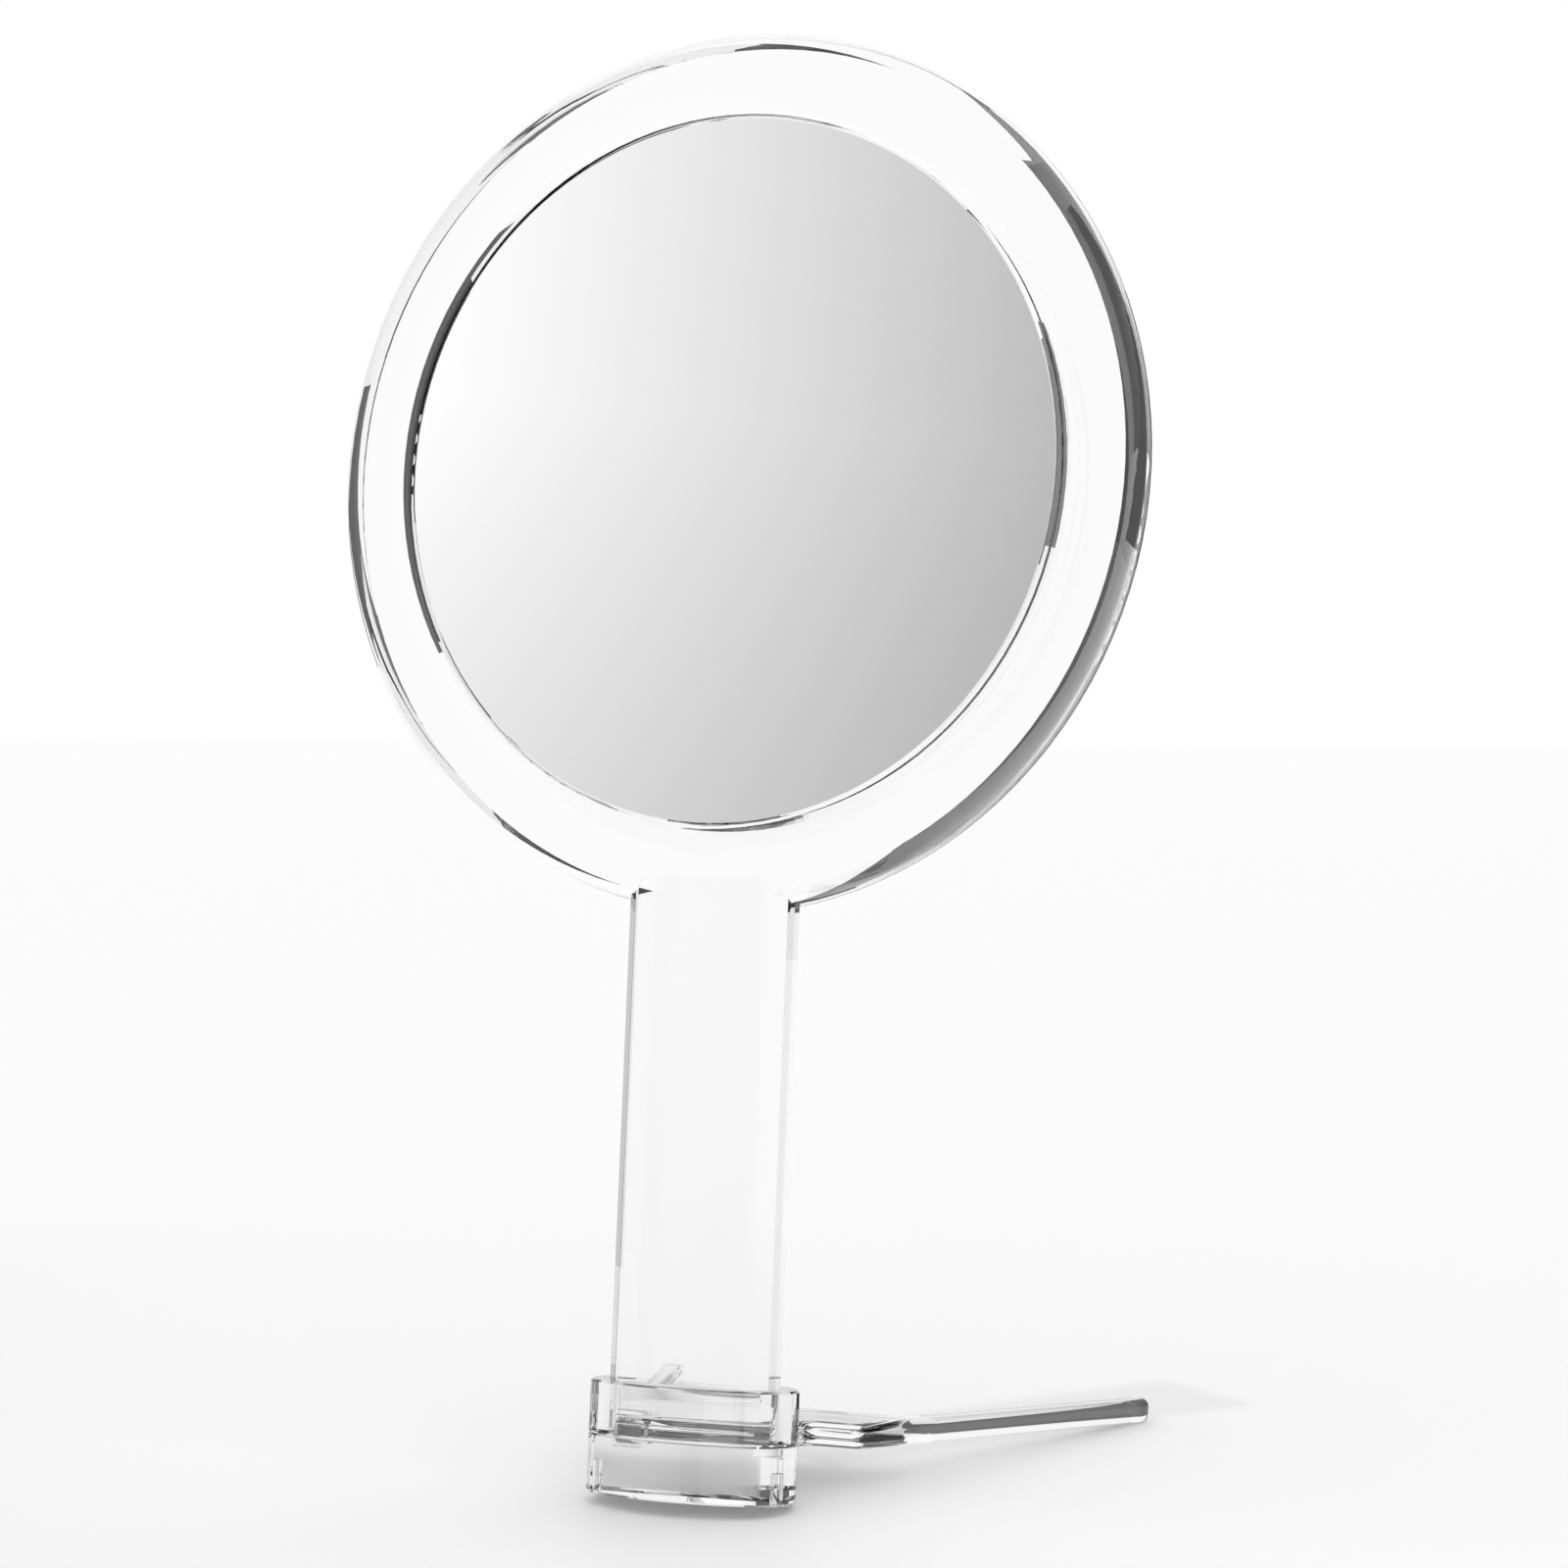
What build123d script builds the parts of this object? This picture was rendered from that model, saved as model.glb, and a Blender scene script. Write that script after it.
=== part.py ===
"""Clear acrylic hand mirror standing on a block foot with a fold-out wishbone leg.

Millimetres, +Z up.  X runs across the mirror, the front mirror faces -Y, the leg points to +Y.
Every piece is drawn upright, with the foot's underside at Z = 0 and the handle's axis on Z.
save() then leans the whole mirror back until the foot's rear edge and the leg's tips stand on Z = 0,
and centres the stance on the origin.
"""

import os
from math import cos, radians, sin, tan

from build123d import *

os.makedirs("parts", exist_ok=True)

# How the mirror stands
LEAN_ANGLE = 7.09  # lean back from upright, degrees: the leg's tips then touch the table
STANCE_MIDDLE_Y = 43.82  # halfway between the foot's front and the leg's tips
LEG_RISE = 1.6  # slope of the opened leg above the foot's seam plane, degrees

# Foot block, made of an upper and a lower half
FOOT_HALF_LENGTH = 19.7
FOOT_HALF_DEPTH = 11.4
FOOT_CORNER_X = 16.5
FOOT_CORNER_Y = 6.95
FOOT_CORNER_RADIUS = 3.0
FOOT_HEIGHT = 20.0
SEAM_HEIGHT = 10.5
SEAM_CHAMFER = 0.3
FOOT_EDGE_CHAMFER = 0.4
SOCKET_CLEARANCE = 0.05
UNDERSIDE_HOLE_RADIUS = 1.0
UNDERSIDE_HOLE_DEPTH = 5.5
UNDERSIDE_HOLE_X = 15.5

# Ring, symmetrical front to back
RING_HEIGHT = 183.4
RING_BEAD_RADIUS = 79.9
RING_BEAD_HALF_WIDTH = 0.45
RING_WALL_FOOT_RADIUS = 79.3
RING_WALL_FOOT_HEIGHT = 0.6
RING_FACE_OUTER_RADIUS = 77.0
RING_FACE_OUTER_HEIGHT = 5.1
RING_FACE_MIDDLE_RADIUS = 71.4
RING_FACE_MIDDLE_HEIGHT = 5.65
RING_FACE_INNER_RADIUS = 64.9
RING_FACE_INNER_HEIGHT = 5.8
POCKET_RADIUS = 64.3
POCKET_LIP_HEIGHT = 5.2
SHELF_RADIUS = 60.5
SHELF_HALF_THICKNESS = 0.9

# Handle
HANDLE_HALF_WIDTH = 15.6
HANDLE_HALF_THICKNESS = 5.5
HANDLE_BEVEL = 3.0
NECK_HEIGHT = 107.0
NECK_RISE = 10.0

# Mirrors and the tape that holds them on the shelf
MIRROR_RADIUS = 64.0
MIRROR_THICKNESS = 2.0
MIRROR_FACE_HEIGHT = 3.9
MIRROR_BACK_HEIGHT = MIRROR_FACE_HEIGHT - MIRROR_THICKNESS
MIRROR_EDGE_CHAMFER = 0.3
MAGNIFIER_CURVE_RADIUS = 1000.0
TAPE_OUTER_RADIUS = 63.6
TAPE_INNER_RADIUS = 61.2

# Hinge
HINGE_Y = 8.6
ROD_RADIUS = 1.0
ROD_CLEARANCE = 0.05
ROD_HALF_LENGTH = 13.3
TONGUE_HALF_WIDTH = 9.0
TONGUE_TOP = 13.1
HINGE_ROOM_FRONT_Y = 5.95
HINGE_ROOM_FLOOR = 7.8
HINGE_ROOM_HALF_WIDTH = 13.75
CUT_REACH = 20.0  # runs the hinge room's cut out past the foot

# Leg, measured along it from the hinge
LEG_THICKNESS = 4.6
LEG_EDGE_FILLET = 1.5
KNUCKLE_HALF_WIDTH = 13.4
KNUCKLE_GAP_HALF_WIDTH = 9.3
KNUCKLE_REACH = 3.6
WING_START = 11.4  # clears the foot's top when the leg is folded
WING_FILLET = 2.5
CROTCH_REACH = 30.5
CROTCH_FILLET = 7.0
ARM_WIDTH = 5.0
ARM_SPLAY = 20.5
TIP_X = 49.0
TIP_REACH = 86.9
ARM_SHIFT_X = ARM_WIDTH / 2 * cos(radians(ARM_SPLAY))
ARM_SHIFT_Y = ARM_WIDTH / 2 * sin(radians(ARM_SPLAY))
EDGE_SEARCH = 0.1  # how far from its place an edge may be when it is picked

# Places and planes shared by several pieces
STANCE_LIFT = (FOOT_HALF_DEPTH - FOOT_EDGE_CHAMFER) * sin(radians(LEAN_ANGLE))
LEAN_BACK = Location((0, -STANCE_MIDDLE_Y, STANCE_LIFT), (-LEAN_ANGLE, 0, 0))
LEG_PLANE = Plane(
    origin=(0, HINGE_Y, SEAM_HEIGHT),
    x_dir=(1, 0, 0),
    z_dir=(0, -sin(radians(LEG_RISE)), cos(radians(LEG_RISE))),
)
FRONT_PLANE = Plane.XZ
RING_PLANE = Plane.XY.offset(RING_HEIGHT)
RING_AXIS = Axis((0, 0, RING_HEIGHT), (0, 1, 0))
HINGE_PLANE = Plane(origin=(0, HINGE_Y, SEAM_HEIGHT), x_dir=(0, 1, 0), z_dir=(1, 0, 0))


def save(piece, label):
    """Lean a finished piece back with the rest of the mirror and write its STEP file."""
    leaned = piece.part.moved(LEAN_BACK)
    leaned.label = label
    export_step(leaned, f"parts/{label}.step")


def shank_outline(inset):
    """Draw the front outline of the handle's straight part, shrunk at its sides by an inset."""
    with Locations((0, (SEAM_HEIGHT + NECK_HEIGHT) / 2)):
        Rectangle(2 * (HANDLE_HALF_WIDTH - inset), NECK_HEIGHT - SEAM_HEIGHT)


def neck_outline(inset):
    """Draw the oval end of the handle where it rises into the ring, shrunk by an inset."""
    with Locations((0, NECK_HEIGHT)):
        Ellipse(HANDLE_HALF_WIDTH - inset, NECK_RISE - inset)


def handle_section(clearance):
    """Draw the handle's bevelled cross-section, grown by a clearance."""
    half_width = HANDLE_HALF_WIDTH + clearance
    half_thickness = HANDLE_HALF_THICKNESS + clearance
    flat = half_width - HANDLE_BEVEL
    side = half_thickness - HANDLE_BEVEL
    Polygon(
        (-flat, -half_thickness),
        (flat, -half_thickness),
        (half_width, -side),
        (half_width, side),
        (flat, half_thickness),
        (-flat, half_thickness),
        (-half_width, side),
        (-half_width, -side),
    )


def curve_centre(radius):
    """Give how far the magnifying mirror's centre of curvature is from the plane of a circle on it."""
    return (MAGNIFIER_CURVE_RADIUS**2 - radius**2) ** 0.5


def tape_outline():
    """Draw the ring of tape, centred on the mirrors."""
    with Locations((0, RING_HEIGHT)):
        Circle(TAPE_OUTER_RADIUS)
        Circle(TAPE_INNER_RADIUS, mode=Mode.SUBTRACT)


def break_edges(half, seam, outside):
    """Round a foot half's four corners, then bevel its seam edge and its outside edge."""
    fillet(half.edges().filter_by(Axis.Z), FOOT_CORNER_RADIUS)
    chamfer(half.edges().filter_by_position(Axis.Z, seam, seam), SEAM_CHAMFER)
    chamfer(half.edges().filter_by_position(Axis.Z, outside, outside), FOOT_EDGE_CHAMFER)


def arm_spread(reach, side):
    """Give X of the right arm's outer (side 1) or inner (side -1) edge, some way along the leg."""
    middle = TIP_X - (TIP_REACH - reach) * tan(radians(ARM_SPLAY))
    return middle + side * ARM_WIDTH / (2 * cos(radians(ARM_SPLAY)))


def near_reach(edges, reach):
    """Pick the edges that stand at a distance along the leg from the hinge."""
    return [edge for edge in edges if abs(LEG_PLANE.to_local_coords(edge.center()).Y - reach) < EDGE_SEARCH]


# Plan of the foot: two bowed long sides joined by rounded ends
with BuildSketch() as foot_plan:
    with BuildLine():
        for side in (-1, 1):
            ThreePointArc(
                (-FOOT_CORNER_X, side * FOOT_CORNER_Y),
                (0, side * FOOT_HALF_DEPTH),
                (FOOT_CORNER_X, side * FOOT_CORNER_Y),
            )
            ThreePointArc(
                (side * FOOT_CORNER_X, -FOOT_CORNER_Y),
                (side * FOOT_HALF_LENGTH, 0),
                (side * FOOT_CORNER_X, FOOT_CORNER_Y),
            )
    make_face()

# Room cut in the rear of the foot for the leg, around a tongue that holds the hinge rod
with BuildPart() as hinge_room:
    with BuildSketch(Plane.XY.offset(HINGE_ROOM_FLOOR)):
        with Locations((0, HINGE_ROOM_FRONT_Y + CUT_REACH / 2)):
            Rectangle(2 * HINGE_ROOM_HALF_WIDTH, CUT_REACH)
    extrude(amount=CUT_REACH)
    with BuildSketch(HINGE_PLANE.offset(-TONGUE_HALF_WIDTH)):
        with Locations((HINGE_ROOM_FRONT_Y - HINGE_Y, HINGE_ROOM_FLOOR - SEAM_HEIGHT)):
            Rectangle(
                HINGE_Y - HINGE_ROOM_FRONT_Y, TONGUE_TOP - HINGE_ROOM_FLOOR, align=(Align.MIN, Align.MIN)
            )
            Rectangle(CUT_REACH, SEAM_HEIGHT - HINGE_ROOM_FLOOR, align=(Align.MIN, Align.MIN))
        Circle(TONGUE_TOP - SEAM_HEIGHT)
    extrude(amount=2 * TONGUE_HALF_WIDTH, mode=Mode.SUBTRACT)
    with BuildSketch(HINGE_PLANE.offset(-TONGUE_HALF_WIDTH)):
        Circle(ROD_RADIUS + ROD_CLEARANCE)
    extrude(amount=2 * TONGUE_HALF_WIDTH)

# Frame: the ring and the handle are one clear moulding
with BuildPart() as frame:
    with BuildSketch(RING_PLANE):
        with BuildLine():
            for side in (-1, 1):
                Polyline(
                    (SHELF_RADIUS, 0),
                    (SHELF_RADIUS, side * SHELF_HALF_THICKNESS),
                    (POCKET_RADIUS, side * SHELF_HALF_THICKNESS),
                    (POCKET_RADIUS, side * POCKET_LIP_HEIGHT),
                    (RING_FACE_INNER_RADIUS, side * RING_FACE_INNER_HEIGHT),
                )
                ThreePointArc(
                    (RING_FACE_INNER_RADIUS, side * RING_FACE_INNER_HEIGHT),
                    (RING_FACE_MIDDLE_RADIUS, side * RING_FACE_MIDDLE_HEIGHT),
                    (RING_FACE_OUTER_RADIUS, side * RING_FACE_OUTER_HEIGHT),
                )
                Polyline(
                    (RING_FACE_OUTER_RADIUS, side * RING_FACE_OUTER_HEIGHT),
                    (RING_WALL_FOOT_RADIUS, side * RING_WALL_FOOT_HEIGHT),
                    (RING_BEAD_RADIUS, side * RING_BEAD_HALF_WIDTH),
                    (RING_BEAD_RADIUS, 0),
                )
        make_face()
    revolve(axis=RING_AXIS)
    for outline in (shank_outline, neck_outline):
        with BuildSketch(FRONT_PLANE):
            outline(0)
        extrude(amount=HANDLE_HALF_THICKNESS - HANDLE_BEVEL, both=True)
        for side in (-1, 1):
            with BuildSketch(FRONT_PLANE.offset(side * (HANDLE_HALF_THICKNESS - HANDLE_BEVEL))):
                outline(0)
            with BuildSketch(FRONT_PLANE.offset(side * HANDLE_HALF_THICKNESS)):
                outline(HANDLE_BEVEL)
            loft()
save(frame, "frame")

# Front mirror: flat glass disc lying on the tape against the ring's shelf
with BuildPart() as front_mirror:
    with BuildSketch(FRONT_PLANE.offset(MIRROR_BACK_HEIGHT)):
        with Locations((0, RING_HEIGHT)):
            Circle(MIRROR_RADIUS)
    extrude(amount=MIRROR_THICKNESS)
    chamfer(front_mirror.edges().filter_by(GeomType.CIRCLE), MIRROR_EDGE_CHAMFER)
save(front_mirror, "front_mirror")

# Rear mirror: hollow-ground glass disc that magnifies, flat where the tape holds it
with BuildPart() as rear_mirror:
    with BuildSketch(FRONT_PLANE.offset(-MIRROR_BACK_HEIGHT)):
        with Locations((0, RING_HEIGHT)):
            Circle(TAPE_INNER_RADIUS)
    extrude(amount=MIRROR_BACK_HEIGHT)
    with Locations((0, MIRROR_BACK_HEIGHT + curve_centre(TAPE_INNER_RADIUS), RING_HEIGHT)):
        Sphere(MAGNIFIER_CURVE_RADIUS, mode=Mode.INTERSECT)
    with BuildSketch(FRONT_PLANE.offset(-MIRROR_FACE_HEIGHT)):
        with Locations((0, RING_HEIGHT)):
            Circle(MIRROR_RADIUS)
    extrude(amount=MIRROR_THICKNESS)
    with Locations((0, MIRROR_FACE_HEIGHT + curve_centre(MIRROR_RADIUS), RING_HEIGHT)):
        Sphere(MAGNIFIER_CURVE_RADIUS, mode=Mode.SUBTRACT)
save(rear_mirror, "rear_mirror")

# Tape: one thin clear ring behind each mirror
with BuildPart() as front_tape:
    with BuildSketch(FRONT_PLANE.offset(SHELF_HALF_THICKNESS)):
        tape_outline()
    extrude(amount=MIRROR_BACK_HEIGHT - SHELF_HALF_THICKNESS)
save(front_tape, "front_tape")

with BuildPart() as rear_tape:
    with BuildSketch(FRONT_PLANE.offset(-MIRROR_BACK_HEIGHT)):
        tape_outline()
    extrude(amount=MIRROR_BACK_HEIGHT - SHELF_HALF_THICKNESS)
save(rear_tape, "rear_tape")

# Upper half of the foot: holds the handle, and is notched so that the leg can fold up
with BuildPart() as foot_upper:
    with BuildSketch(Plane.XY.offset(SEAM_HEIGHT)):
        add(foot_plan.sketch)
    extrude(amount=FOOT_HEIGHT - SEAM_HEIGHT)
    break_edges(foot_upper, SEAM_HEIGHT, FOOT_HEIGHT)
    with BuildSketch(Plane.XY.offset(SEAM_HEIGHT)):
        handle_section(SOCKET_CLEARANCE)
    extrude(amount=FOOT_HEIGHT - SEAM_HEIGHT, mode=Mode.SUBTRACT)
    add(hinge_room.part, mode=Mode.SUBTRACT)
save(foot_upper, "foot_upper")

# Lower half of the foot: closes the handle's socket and the hinge
with BuildPart() as foot_lower:
    with BuildSketch(Plane.XY):
        add(foot_plan.sketch)
    extrude(amount=SEAM_HEIGHT)
    break_edges(foot_lower, SEAM_HEIGHT, 0)
    add(hinge_room.part, mode=Mode.SUBTRACT)
    with BuildSketch(Plane.XY):
        with Locations((-UNDERSIDE_HOLE_X, 0), (UNDERSIDE_HOLE_X, 0)):
            Circle(UNDERSIDE_HOLE_RADIUS)
    extrude(amount=UNDERSIDE_HOLE_DEPTH, mode=Mode.SUBTRACT)
save(foot_lower, "foot_lower")

# Hinge rod: pressed through the leg's knuckles, turns between the halves of the foot
with BuildPart() as hinge_rod:
    with BuildSketch(HINGE_PLANE.offset(-ROD_HALF_LENGTH)):
        Circle(ROD_RADIUS)
    extrude(amount=2 * ROD_HALF_LENGTH)
save(hinge_rod, "hinge_rod")

# Leg: a wishbone, with a neck at the hinge and two splayed arms
with BuildPart() as stand_leg:
    with BuildSketch(LEG_PLANE.offset(-LEG_THICKNESS / 2)):
        for side in (-1, 1):
            Polygon(
                (0, KNUCKLE_REACH),
                (side * KNUCKLE_HALF_WIDTH, KNUCKLE_REACH),
                (side * KNUCKLE_HALF_WIDTH, WING_START),
                (side * arm_spread(WING_START, 1), WING_START),
                (side * (TIP_X + ARM_SHIFT_X), TIP_REACH - ARM_SHIFT_Y),
                (side * (TIP_X - ARM_SHIFT_X), TIP_REACH + ARM_SHIFT_Y),
                (side * arm_spread(CROTCH_REACH, -1), CROTCH_REACH),
                (0, CROTCH_REACH),
                align=None,
            )
            with Locations((side * TIP_X, TIP_REACH)):
                Circle(ARM_WIDTH / 2)
    extrude(amount=LEG_THICKNESS)
    upright_edges = stand_leg.edges().filter_by(Axis((0, 0, 0), LEG_PLANE.z_dir))
    fillet(near_reach(upright_edges, WING_START), WING_FILLET)
    fillet(near_reach(upright_edges, CROTCH_REACH), CROTCH_FILLET)
    fillet(stand_leg.faces().filter_by(Axis((0, 0, 0), LEG_PLANE.z_dir)).edges(), LEG_EDGE_FILLET)
    for side in (-1, 1):
        with BuildSketch(HINGE_PLANE.offset(side * KNUCKLE_GAP_HALF_WIDTH)):
            Circle(LEG_THICKNESS / 2)
            with Locations(Location((0, 0), LEG_RISE)):
                Rectangle(KNUCKLE_REACH + LEG_EDGE_FILLET, LEG_THICKNESS, align=(Align.MIN, Align.CENTER))
        extrude(amount=side * (KNUCKLE_HALF_WIDTH - KNUCKLE_GAP_HALF_WIDTH))
    with BuildSketch(HINGE_PLANE.offset(-KNUCKLE_HALF_WIDTH)):
        Circle(ROD_RADIUS)
    extrude(amount=2 * KNUCKLE_HALF_WIDTH, mode=Mode.SUBTRACT)
save(stand_leg, "stand_leg")
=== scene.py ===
"""Looks of the standing hand mirror: clear acrylic, silvered glass, a white table and soft studio light.

Metres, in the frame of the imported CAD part.  The CAD solids are shown as they are.
"""

from math import radians

import bpy
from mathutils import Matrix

# Camera: place, turn in degrees and lens in millimetres
CAMERA_PLACE = (0.3210, -0.6965, 0.1643)
CAMERA_TURN = (87.137, 0.639, 24.730)
CAMERA_LENS = 94.91

# Studio and table
WORLD_COLOUR = (1.0, 1.0, 1.0)
WORLD_STRENGTH = 1.0
TABLE_SIZE = 6.0
TABLE_COLOUR = (0.98, 0.98, 0.98)
TABLE_ROUGHNESS = 0.6

# Clear plastic: smears make it hazy, and broader waves ripple its surface
PLASTIC_INDEX = 1.49
SMEAR_DETAIL = 4.0
SMEAR_SPAN = (0.45, 0.8)
SMEARS_PER_WAVE = 3
WAVE_DETAIL = 1.0
WAVE_DEPTH = 0.0005
ACRYLIC_COLOUR = (0.985, 0.985, 0.985)
TAPE_COLOUR = (0.9, 0.9, 0.9)

# Clear materials: name, CAD nodes, colour, most haze, ripple and smears in a metre
CLEAR_MATERIALS = (
    ("frame_clear", ("frame",), ACRYLIC_COLOUR, 0.02, 0.02, 60.0),
    ("foot_clear", ("foot_upper", "foot_lower"), ACRYLIC_COLOUR, 0.03, 0.04, 90.0),
    ("leg_clear", ("stand_leg",), ACRYLIC_COLOUR, 0.03, 0.06, 90.0),
    ("rod_clear", ("hinge_rod",), ACRYLIC_COLOUR, 0.06, 0.05, 200.0),
    ("tape_clear", ("front_tape", "rear_tape"), TAPE_COLOUR, 0.3, 0.5, 600.0),
)

# Silvered glass: specks of dust make it hazy, and wiping marks ripple it faintly
SILVER_COLOUR = (0.93, 0.93, 0.93)
SILVER_HAZE = 0.03
DUST_SCALE = 900.0
DUST_DETAIL = 6.0
DUST_SPAN = (0.5, 0.8)
WIPE_SCALE = 25.0
WIPE_DETAIL = 3.0
WIPE_STRENGTH = 0.01
WIPE_DEPTH = 0.0001
MIRRORS = (
    ("mirror_silver", "front_mirror"),
    ("magnifier_silver", "rear_mirror"),
)

# Grey cards, which the acrylic's edges show: name, size, middle, turn in degrees, material and grey level
FACING_SIDEWAYS = (90, 0, 90)
GREY_CARDS = (
    ("left_flag", (0.21, 1.3), (-0.35, 0.155, 0.74), FACING_SIDEWAYS, "left_grey", 0.08),
    ("left_low_flag", (0.13, 0.09), (-0.35, 0.115, 0.045), FACING_SIDEWAYS, "left_low_grey", 0.08),
    ("front_flag", (0.35, 1.0), (-0.8, -0.47, 0.5), FACING_SIDEWAYS, "front_grey", 0.08),
    ("right_flag", (1.1, 2.0), (0.8, 0.7, 1.0), FACING_SIDEWAYS, "right_grey", 0.1),
    ("rear_flag", (0.32, 0.7), (0.35, 0.95, 0.35), (90, 0, -20), "rear_grey", 0.2),
    ("leg_flag", (0.1, 0.03), (0.024, 0.046, 0.001), (0, 0, 56), "leg_grey", 0.12),
)

# Card that the front mirror reflects, with its levels and the shares of its sides over which they change
MIRROR_CARD_SIZE = (1.1, 1.1)
MIRROR_CARD_PLACE = (-0.5, -1.0, 0.42)
MIRROR_CARD_TURN = (90, 0, -26)
LEVELS_ACROSS = (1.12, 0.42)
SPAN_ACROSS = (0.37, 0.71)
LEVELS_UP = (0.82, 1.0)
SPAN_UP = (0.39, 0.56)


class Nodes:
    """A small builder for one material's node tree."""

    def __init__(self, material):
        material.use_nodes = True
        self.tree = material.node_tree
        self.tree.nodes.clear()

    def add(self, kind, links=(), **values):
        """Add a node, set its named values, and link other nodes' outputs into its inputs."""
        node = self.tree.nodes.new(kind)
        for key, value in values.items():
            if hasattr(node, key):
                setattr(node, key, value)
            else:
                node.inputs[key.replace("_", " ")].default_value = value
        for name, output in links:
            self.tree.links.new(output, node.inputs[name])
        return node

    def finish(self, output):
        """Make a shader's output the material's surface."""
        self.add("ShaderNodeOutputMaterial", [("Surface", output)])


def ramp(nodes, source, levels, span):
    """Turn a source that runs over a span into a value that runs over two levels."""
    return nodes.add(
        "ShaderNodeMapRange",
        [("Value", source)],
        From_Min=span[0],
        From_Max=span[1],
        To_Min=levels[0],
        To_Max=levels[1],
    ).outputs["Result"]


def noise(nodes, place, scale, detail):
    """Noise over the object's own coordinates."""
    node = nodes.add("ShaderNodeTexNoise", [("Vector", place)], Scale=scale, Detail=detail)
    return node.outputs["Fac"]


def bump(nodes, height, strength, distance):
    """A surface normal rippled by a height."""
    node = nodes.add("ShaderNodeBump", [("Height", height)], Strength=strength, Distance=distance)
    return node.outputs["Normal"]


def clear_plastic(name, colour, haze, ripple, scale):
    """Clear polished plastic: faint haze, handling marks and the slight ripple of a moulded surface."""
    material = bpy.data.materials.new(name)
    nodes = Nodes(material)
    place = nodes.add("ShaderNodeTexCoord").outputs["Object"]
    smears = noise(nodes, place, scale, SMEAR_DETAIL)
    waves = noise(nodes, place, scale / SMEARS_PER_WAVE, WAVE_DETAIL)
    rippled = bump(nodes, waves, ripple, WAVE_DEPTH)
    rough = ramp(nodes, smears, (0.0, haze), SMEAR_SPAN)
    shader = nodes.add(
        "ShaderNodeBsdfPrincipled",
        [("Roughness", rough), ("Normal", rippled)],
        Base_Color=(*colour, 1.0),
        IOR=PLASTIC_INDEX,
        Transmission_Weight=1.0,
    )
    nodes.finish(shader.outputs["BSDF"])
    return material


def silvered_glass(name):
    """A silvered mirror, with faint dust haze and wiping marks."""
    material = bpy.data.materials.new(name)
    nodes = Nodes(material)
    place = nodes.add("ShaderNodeTexCoord").outputs["Object"]
    dust = noise(nodes, place, DUST_SCALE, DUST_DETAIL)
    wipes = noise(nodes, place, WIPE_SCALE, WIPE_DETAIL)
    rippled = bump(nodes, wipes, WIPE_STRENGTH, WIPE_DEPTH)
    rough = ramp(nodes, dust, (0.0, SILVER_HAZE), DUST_SPAN)
    shader = nodes.add(
        "ShaderNodeBsdfPrincipled",
        [("Roughness", rough), ("Normal", rippled)],
        Base_Color=(*SILVER_COLOUR, 1.0),
        Metallic=1.0,
    )
    nodes.finish(shader.outputs["BSDF"])
    return material


def table_white():
    """The table's plain matt white."""
    material = bpy.data.materials.new("table_white")
    nodes = Nodes(material)
    shader = nodes.add(
        "ShaderNodeBsdfPrincipled",
        Base_Color=(*TABLE_COLOUR, 1.0),
        Roughness=TABLE_ROUGHNESS,
    )
    nodes.finish(shader.outputs["BSDF"])
    return material


def grey_glow(name, level):
    """Evenly grey card stock, which gives its own light."""
    material = bpy.data.materials.new(name)
    nodes = Nodes(material)
    shader = nodes.add("ShaderNodeEmission", Strength=level)
    nodes.finish(shader.outputs["Emission"])
    return material


def mirror_glow():
    """Card stock for the front mirror to reflect: white at its left, grey at its right, darker low down."""
    material = bpy.data.materials.new("mirror_glow")
    nodes = Nodes(material)
    place = nodes.add("ShaderNodeTexCoord").outputs["Generated"]
    sides = nodes.add("ShaderNodeSeparateXYZ", [("Vector", place)]).outputs
    across = ramp(nodes, sides["X"], LEVELS_ACROSS, SPAN_ACROSS)
    up = ramp(nodes, sides["Y"], LEVELS_UP, SPAN_UP)
    level = nodes.add("ShaderNodeMath", [(0, across), (1, up)], operation="MULTIPLY").outputs["Value"]
    shader = nodes.add("ShaderNodeEmission", [("Strength", level)])
    nodes.finish(shader.outputs["Emission"])
    return material


def paint(objects, material):
    """Give each object one material."""
    for thing in objects:
        thing.data.materials.clear()
        thing.data.materials.append(material)


def paint_clear_pieces(nodes):
    """Give the frame, the foot, the leg, the rod and the tapes their clear plastics."""
    for name, pieces, colour, haze, ripple, scale in CLEAR_MATERIALS:
        paint([nodes[piece] for piece in pieces], clear_plastic(name, colour, haze, ripple, scale))


def paint_mirrors(nodes):
    """Silver both mirrors."""
    for name, piece in MIRRORS:
        paint([nodes[piece]], silvered_glass(name))


def set_film():
    """Keep white paper white: no film-like roll-off."""
    bpy.context.scene.view_settings.view_transform = "Standard"


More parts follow.
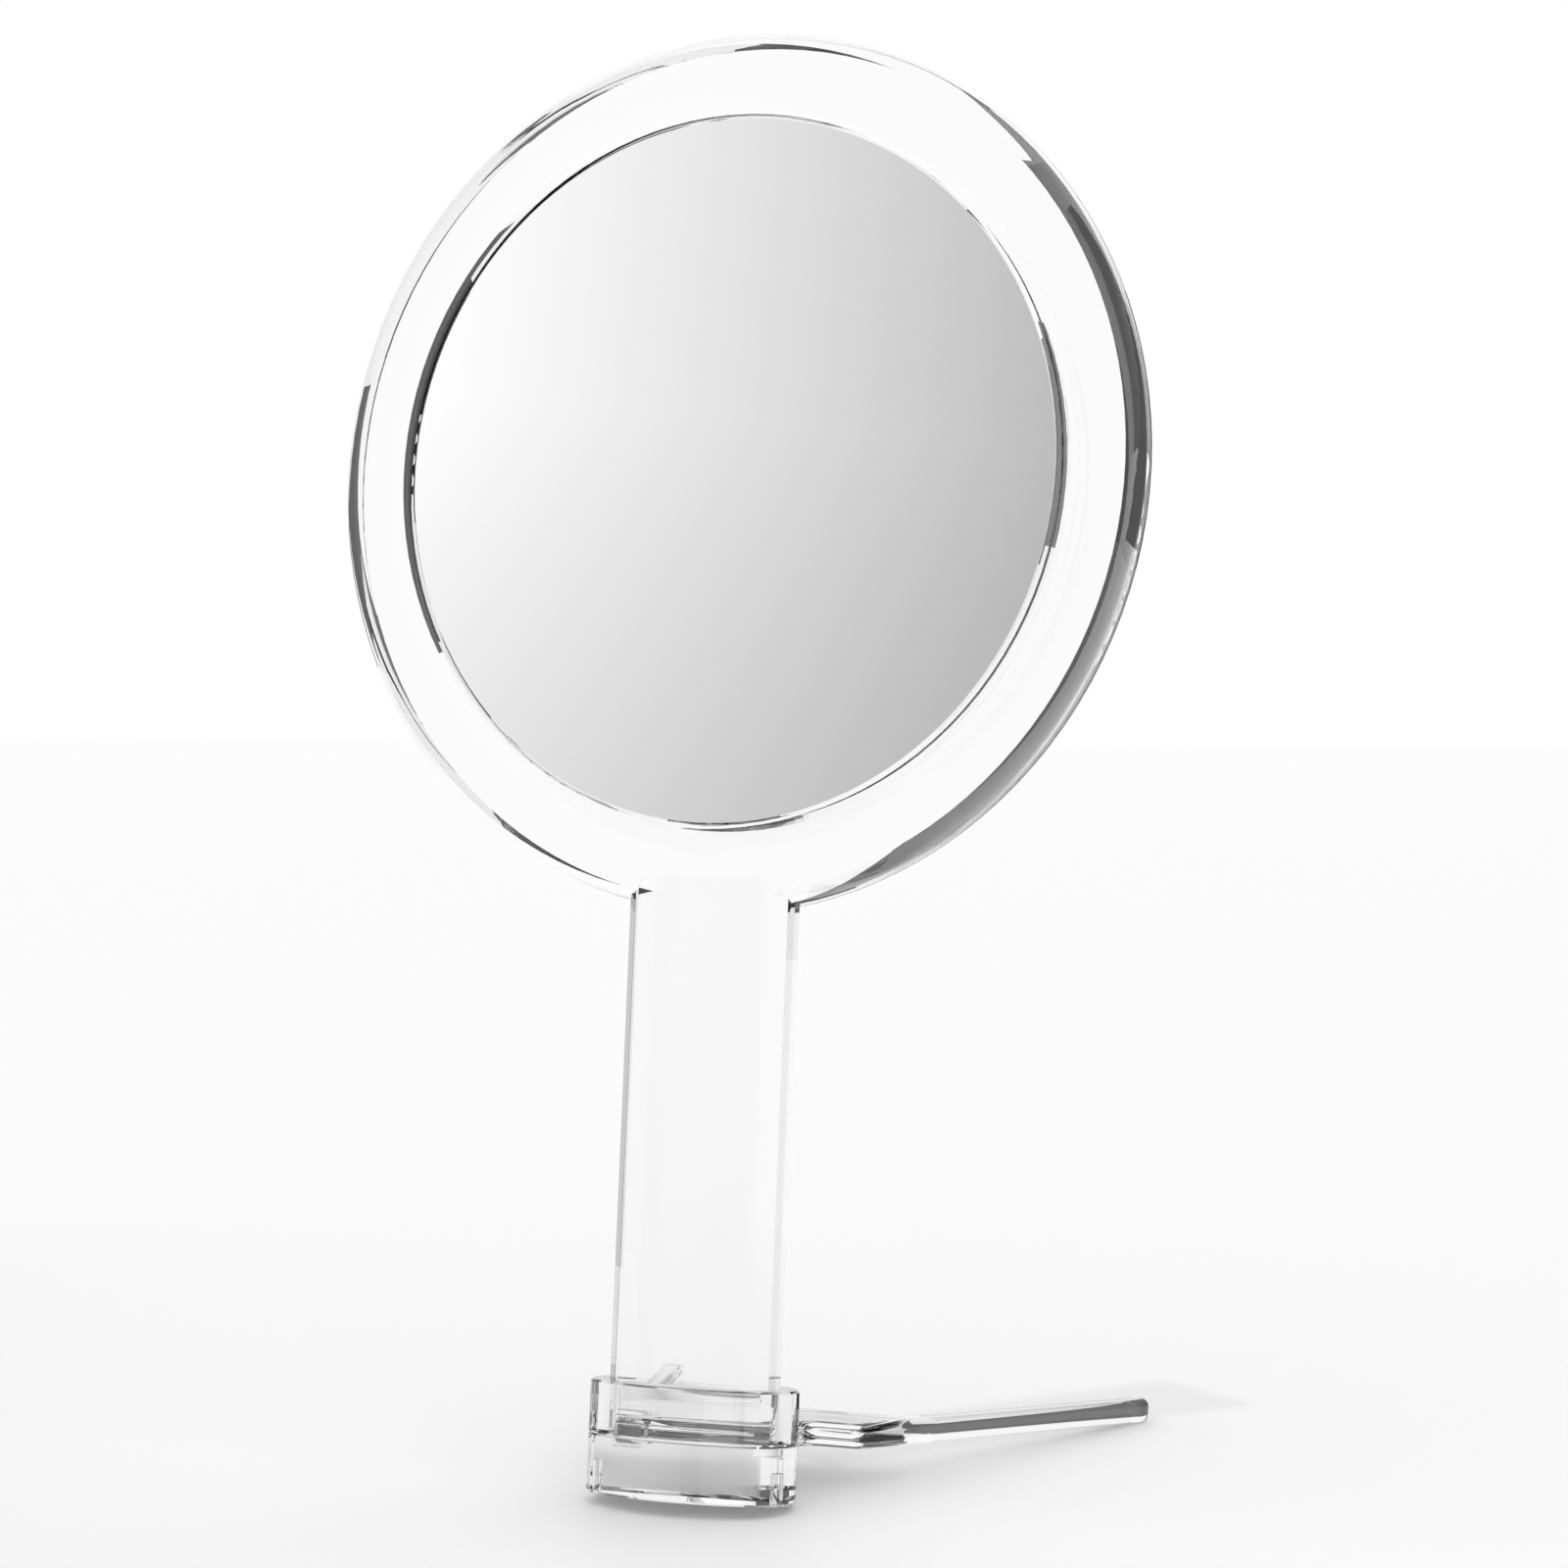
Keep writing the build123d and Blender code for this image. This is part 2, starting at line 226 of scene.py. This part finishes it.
def set_world():
    """An even white studio."""
    world = bpy.data.worlds.new("studio")
    bpy.context.scene.world = world
    world.use_nodes = True
    sky = world.node_tree.nodes["Background"]
    sky.inputs["Color"].default_value = (*WORLD_COLOUR, 1.0)
    sky.inputs["Strength"].default_value = WORLD_STRENGTH


def set_table():
    """The white table that the mirror stands on."""
    bpy.ops.mesh.primitive_plane_add(size=TABLE_SIZE, location=(0, 0, 0))
    table = bpy.context.object
    table.name = "table_top"
    paint([table], table_white())


def set_camera():
    """The photograph's viewpoint."""
    data = bpy.data.cameras.new("view")
    data.lens = CAMERA_LENS
    camera = bpy.data.objects.new("view", data)
    camera.location = CAMERA_PLACE
    camera.rotation_euler = [radians(angle) for angle in CAMERA_TURN]
    bpy.context.scene.collection.objects.link(camera)
    bpy.context.scene.camera = camera


def set_card(name, size, place, turn, material):
    """A flat staged card, seen in reflections and through the acrylic but not by the camera."""
    bpy.ops.mesh.primitive_plane_add(size=1.0, location=place, rotation=[radians(angle) for angle in turn])
    card = bpy.context.object
    card.name = name
    card.scale = (*size, 1.0)
    card.visible_camera = False
    card.visible_diffuse = False
    card.visible_shadow = False
    paint([card], material)


def set_cards():
    """The grey cards, and the shaded card that the front mirror reflects."""
    for name, size, place, turn, stock, level in GREY_CARDS:
        set_card(name, size, place, turn, grey_glow(stock, level))
    set_card("mirror_card", MIRROR_CARD_SIZE, MIRROR_CARD_PLACE, MIRROR_CARD_TURN, mirror_glow())


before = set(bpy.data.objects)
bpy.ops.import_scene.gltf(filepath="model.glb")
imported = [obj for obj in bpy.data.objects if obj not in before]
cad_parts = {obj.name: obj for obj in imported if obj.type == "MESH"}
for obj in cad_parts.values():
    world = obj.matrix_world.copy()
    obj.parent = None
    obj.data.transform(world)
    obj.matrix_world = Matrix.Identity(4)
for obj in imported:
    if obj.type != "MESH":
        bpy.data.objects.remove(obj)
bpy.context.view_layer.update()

paint_clear_pieces(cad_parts)
paint_mirrors(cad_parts)
set_film()
set_world()
set_table()
set_camera()
set_cards()
